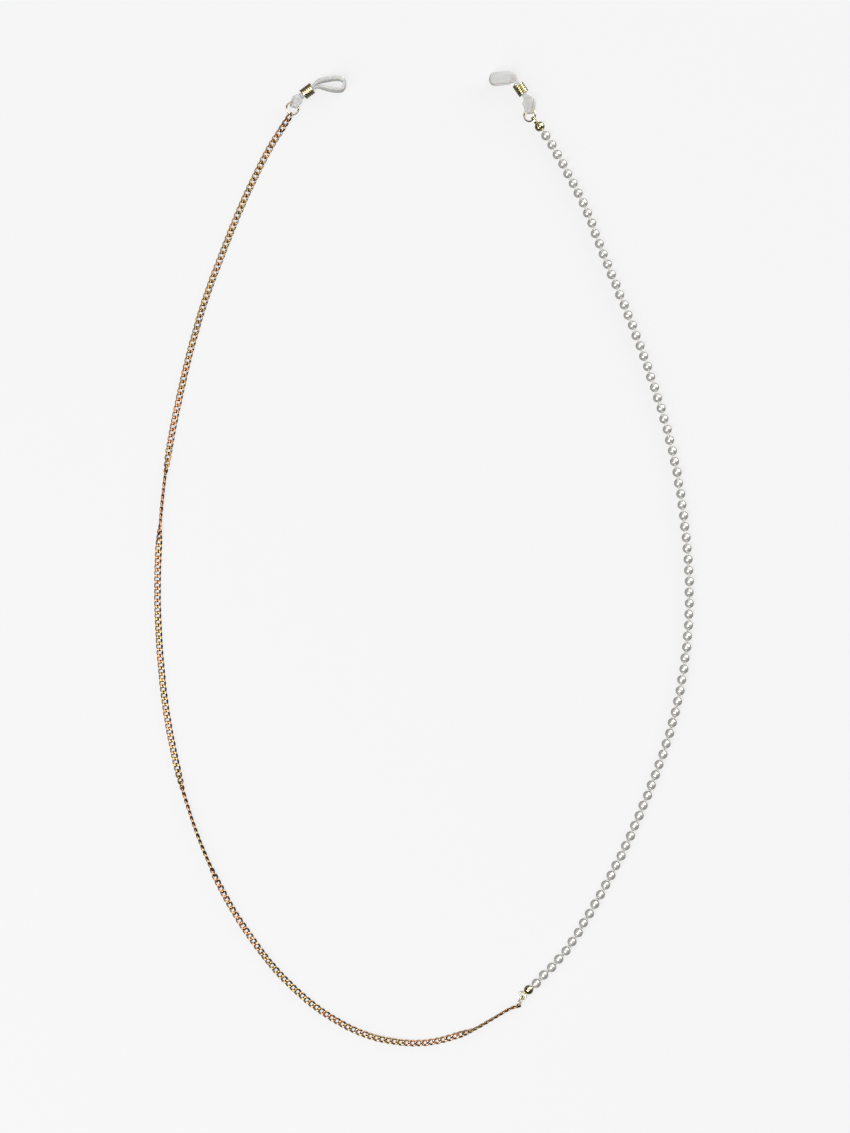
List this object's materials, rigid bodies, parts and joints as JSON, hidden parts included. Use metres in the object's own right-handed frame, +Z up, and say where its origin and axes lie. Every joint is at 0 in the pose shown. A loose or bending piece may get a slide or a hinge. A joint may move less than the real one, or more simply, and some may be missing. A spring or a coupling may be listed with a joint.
{
  "type": "eyeglasses chain strap",
  "caption": "Eyeglasses chain strap: a fine gold curb chain joined to a strand of small pearls, with a silicone temple loop and sliding wire coil at each end.",
  "frame": {"origin": "on the surface that the strap lies on, under the middle of its bounding box", "axes": "+Z up from the surface, +Y from the join towards the two temple loops, +X from the chain's side towards the pearls' side"},
  "size_m": [0.1765, 0.3186, 0.0051],
  "materials": {
    "chain_gold": "polished antique gold plate on brass",
    "pale_gold": "polished pale gold plate on brass",
    "pearl": "glossy pearl coating",
    "silicone": "translucent satin silicone"
  },
  "bodies": {
    "join_ring": {"join_ring": "pale_gold"},
    "chain_lower_link": {"chain_lower_link": "chain_gold"},
    "chain_run_14": {"chain_run_14": "chain_gold"},
    "chain_run_13": {"chain_run_13": "chain_gold"},
    "chain_run_12": {"chain_run_12": "chain_gold"},
    "chain_run_11": {"chain_run_11": "chain_gold"},
    "chain_run_10": {"chain_run_10": "chain_gold"},
    "chain_run_09": {"chain_run_09": "chain_gold"},
    "chain_run_08": {"chain_run_08": "chain_gold"},
    "chain_run_07": {"chain_run_07": "chain_gold"},
    "chain_run_06": {"chain_run_06": "chain_gold"},
    "chain_run_05": {"chain_run_05": "chain_gold"},
    "chain_run_04": {"chain_run_04": "chain_gold"},
    "chain_run_03": {"chain_run_03": "chain_gold"},
    "chain_run_02": {"chain_run_02": "chain_gold"},
    "chain_run_01": {"chain_run_01": "chain_gold"},
    "chain_upper_link": {"chain_upper_link": "chain_gold"},
    "left_jump_ring": {"left_jump_ring": "pale_gold"},
    "left_temple_band": {"left_temple_band": "silicone"},
    "left_slider_coil": {"left_slider_coil": "pale_gold"},
    "lower_bead_tip": {"lower_bead_tip": "pale_gold", "lower_crimp_bead": "pale_gold"},
    "pearl_run_12": {"pearl_run_12": "pearl"},
    "pearl_run_11": {"pearl_run_11": "pearl"},
    "pearl_run_10": {"pearl_run_10": "pearl"},
    "pearl_run_09": {"pearl_run_09": "pearl"},
    "pearl_run_08": {"pearl_run_08": "pearl"},
    "pearl_run_07": {"pearl_run_07": "pearl"},
    "pearl_run_06": {"pearl_run_06": "pearl"},
    "pearl_run_05": {"pearl_run_05": "pearl"},
    "pearl_run_04": {"pearl_run_04": "pearl"},
    "pearl_run_03": {"pearl_run_03": "pearl"},
    "pearl_run_02": {"pearl_run_02": "pearl"},
    "pearl_run_01": {"pearl_run_01": "pearl"},
    "upper_bead_tip": {"upper_bead_tip": "pale_gold", "upper_crimp_bead": "pale_gold"},
    "right_jump_ring": {"right_jump_ring": "pale_gold"},
    "right_temple_band": {"right_temple_band": "silicone"},
    "right_slider_coil": {"right_slider_coil": "pale_gold"}
  },
  "joints": [
    {"name": "band_left_lift", "type": "hinge", "parent": "left_jump_ring", "child": "left_temple_band", "pos_m": [-0.04194, 0.14892, 0.00212], "axis": [0.8348, -0.4315, -0.342], "range_deg": [0, 50]},
    {"name": "band_right_lift", "type": "hinge", "parent": "right_jump_ring", "child": "right_temple_band", "pos_m": [0.03462, 0.14691, 0.00228], "axis": [0.866, 0.0057, 0.5], "range_deg": [0, 50]},
    {"name": "bead_tip_lower_swing", "type": "hinge", "parent": "join_ring", "child": "lower_bead_tip", "pos_m": [0.03234, -0.14318, 0.00155], "axis": [0, 0, 1], "range_deg": [-30, 8]},
    {"name": "bead_tip_upper_swing", "type": "hinge", "parent": "pearl_run_01", "child": "upper_bead_tip", "pos_m": [0.03901, 0.13978, 0.0015], "axis": [0, 0, 1], "range_deg": [-25, 25]},
    {"name": "coil_left_slide", "type": "slide", "parent": "left_temple_band", "child": "left_slider_coil", "axis": [0.809, 0.5878, 0], "range_m": [-0.0004, 0.0006]},
    {"name": "coil_right_slide", "type": "slide", "parent": "right_temple_band", "child": "right_slider_coil", "axis": [-0.5592, 0.829, 0], "range_m": [-0.0007, 0.0007]},
    {"name": "end_link_lower_swing", "type": "hinge", "parent": "join_ring", "child": "chain_lower_link", "pos_m": [0.031, -0.1465, 0.0011], "axis": [0, 0, 1], "range_deg": [-7, 30]},
    {"name": "end_link_upper_swing", "type": "hinge", "parent": "chain_run_01", "child": "chain_upper_link", "pos_m": [-0.04461, 0.14337, 0.001], "axis": [0, 0, 1], "range_deg": [-20, 20]},
    {"name": "ring_left_turn", "type": "hinge", "parent": "chain_upper_link", "child": "left_jump_ring", "pos_m": [-0.04288, 0.1471, 0.00212], "axis": [0.3038, -0.157, 0.9397], "range_deg": [-5, 35]},
    {"name": "ring_right_turn", "type": "hinge", "parent": "upper_bead_tip", "child": "right_jump_ring", "pos_m": [0.03463, 0.14486, 0.00228], "axis": [-0.5, -0.0033, 0.866], "range_deg": [-35, 5]},
    {"name": "run_bend_chain_01", "type": "hinge", "parent": "chain_run_02", "child": "chain_run_01", "pos_m": [-0.05813, 0.11875, 0.00057], "axis": [0, 0, -1], "range_deg": [-20, 20]},
    {"name": "run_bend_chain_02", "type": "hinge", "parent": "chain_run_03", "child": "chain_run_02", "pos_m": [-0.06795, 0.09454, 0.00057], "axis": [0, 0, 1], "range_deg": [-20, 20]},
    {"name": "run_bend_chain_03", "type": "hinge", "parent": "chain_run_04", "child": "chain_run_03", "pos_m": [-0.07642, 0.06773, 0.00057], "axis": [0, 0, 1], "range_deg": [-20, 20]},
    {"name": "run_bend_chain_04", "type": "hinge", "parent": "chain_run_05", "child": "chain_run_04", "pos_m": [-0.08213, 0.04224, 0.00057], "axis": [0, 0, -1], "range_deg": [-20, 20]},
    {"name": "run_bend_chain_05", "type": "hinge", "parent": "chain_run_06", "child": "chain_run_05", "pos_m": [-0.08594, 0.01437, 0.00057], "axis": [0, 0, -1], "range_deg": [-20, 20]},
    {"name": "run_bend_chain_06", "type": "hinge", "parent": "chain_run_07", "child": "chain_run_06", "pos_m": [-0.08712, -0.01172, 0.00057], "axis": [0, 0, 1], "range_deg": [-20, 20]},
    {"name": "run_bend_chain_07", "type": "hinge", "parent": "chain_run_08", "child": "chain_run_07", "pos_m": [-0.08553, -0.0398, 0.00057], "axis": [0, 0, 1], "range_deg": [-20, 20]},
    {"name": "run_bend_chain_08", "type": "hinge", "parent": "chain_run_09", "child": "chain_run_08", "pos_m": [-0.08088, -0.06753, 0.00057], "axis": [0, 0, -1], "range_deg": [-20, 18]},
    {"name": "run_bend_chain_09", "type": "hinge", "parent": "chain_run_10", "child": "chain_run_09", "pos_m": [-0.07321, -0.09248, 0.00057], "axis": [0, 0, -1], "range_deg": [-20, 14]},
    {"name": "run_bend_chain_10", "type": "hinge", "parent": "chain_run_11", "child": "chain_run_10", "pos_m": [-0.06075, -0.11766, 0.00057], "axis": [0, 0, 1], "range_deg": [-11, 20]},
    {"name": "run_bend_chain_11", "type": "hinge", "parent": "chain_run_12", "child": "chain_run_11", "pos_m": [-0.04487, -0.13834, 0.00057], "axis": [0, 0, 1], "range_deg": [-10, 20]},
    {"name": "run_bend_chain_12", "type": "hinge", "parent": "chain_run_13", "child": "chain_run_12", "pos_m": [-0.02211, -0.1546, 0.00057], "axis": [0, 0, -1], "range_deg": [-20, 8]},
    {"name": "run_bend_chain_13", "type": "hinge", "parent": "chain_run_14", "child": "chain_run_13", "pos_m": [0.00344, -0.15808, 0.00057], "axis": [0, 0, -1], "range_deg": [-20, 7]},
    {"name": "run_bend_chain_14", "type": "hinge", "parent": "chain_lower_link", "child": "chain_run_14", "pos_m": [0.02903, -0.1469, 0.00057], "axis": [0, 0, 1], "range_deg": [-7, 20]},
    {"name": "run_bend_pearls_01", "type": "hinge", "parent": "pearl_run_02", "child": "pearl_run_01", "pos_m": [0.05134, 0.11787, 0.0015], "axis": [0, 0, -1], "range_deg": [-25, 25]},
    {"name": "run_bend_pearls_02", "type": "hinge", "parent": "pearl_run_03", "child": "pearl_run_02", "pos_m": [0.06075, 0.09456, 0.0015], "axis": [0, 0, 1], "range_deg": [-25, 25]},
    {"name": "run_bend_pearls_03", "type": "hinge", "parent": "pearl_run_04", "child": "pearl_run_03", "pos_m": [0.07011, 0.07121, 0.0015], "axis": [0, 0, 1], "range_deg": [-25, 25]},
    {"name": "run_bend_pearls_04", "type": "hinge", "parent": "pearl_run_05", "child": "pearl_run_04", "pos_m": [0.07809, 0.04736, 0.0015], "axis": [0, 0, -1], "range_deg": [-25, 25]},
    {"name": "run_bend_pearls_05", "type": "hinge", "parent": "pearl_run_06", "child": "pearl_run_05", "pos_m": [0.08371, 0.02287, 0.0015], "axis": [0, 0, -1], "range_deg": [-25, 25]},
    {"name": "run_bend_pearls_06", "type": "hinge", "parent": "pearl_run_07", "child": "pearl_run_06", "pos_m": [0.08655, -0.00211, 0.0015], "axis": [0, 0, 1], "range_deg": [-25, 25]},
    {"name": "run_bend_pearls_07", "type": "hinge", "parent": "pearl_run_08", "child": "pearl_run_07", "pos_m": [0.08613, -0.02724, 0.0015], "axis": [0, 0, 1], "range_deg": [-25, 25]},
    {"name": "run_bend_pearls_08", "type": "hinge", "parent": "pearl_run_09", "child": "pearl_run_08", "pos_m": [0.08181, -0.05199, 0.0015], "axis": [0, 0, -1], "range_deg": [-22, 25]},
    {"name": "run_bend_pearls_09", "type": "hinge", "parent": "pearl_run_10", "child": "pearl_run_09", "pos_m": [0.07383, -0.07583, 0.0015], "axis": [0, 0, -1], "range_deg": [-17, 25]},
    {"name": "run_bend_pearls_10", "type": "hinge", "parent": "pearl_run_11", "child": "pearl_run_10", "pos_m": [0.06367, -0.09882, 0.0015], "axis": [0, 0, 1], "range_deg": [-25, 14]},
    {"name": "run_bend_pearls_11", "type": "hinge", "parent": "pearl_run_12", "child": "pearl_run_11", "pos_m": [0.05139, -0.12076, 0.0015], "axis": [0, 0, 1], "range_deg": [-25, 12]},
    {"name": "run_bend_pearls_12", "type": "hinge", "parent": "lower_bead_tip", "child": "pearl_run_12", "pos_m": [0.03559, -0.14023, 0.0015], "axis": [0, 0, -1], "range_deg": [-8, 25]}
  ]
}
